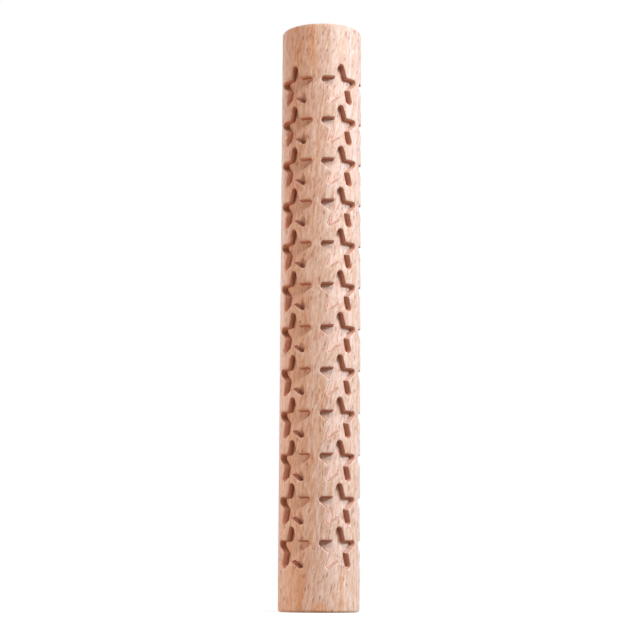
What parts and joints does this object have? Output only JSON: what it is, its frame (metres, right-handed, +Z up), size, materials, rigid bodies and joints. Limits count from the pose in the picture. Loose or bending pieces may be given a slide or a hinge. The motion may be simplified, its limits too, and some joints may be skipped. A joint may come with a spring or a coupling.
{
  "type": "embossed rolling pin",
  "caption": "Handleless wooden rolling pin: a slim round roller with rows of recessed stars in its side, which leave raised stars on rolled dough.",
  "frame": {"origin": "middle of the lower end face, with the roller stood on its end as in the picture", "axes": "+Z up along the roller's axis; -Y is the side that faces the picture's camera; the star column right of the front is turned 29.3 degrees from -Y towards +X"},
  "size_m": [0.02, 0.02, 0.1456],
  "materials": {
    "beech": "sanded bare beech, matt, with slightly browner pocket walls"
  },
  "bodies": {
    "root": {"roller_body": "beech"}
  },
  "joints": []
}
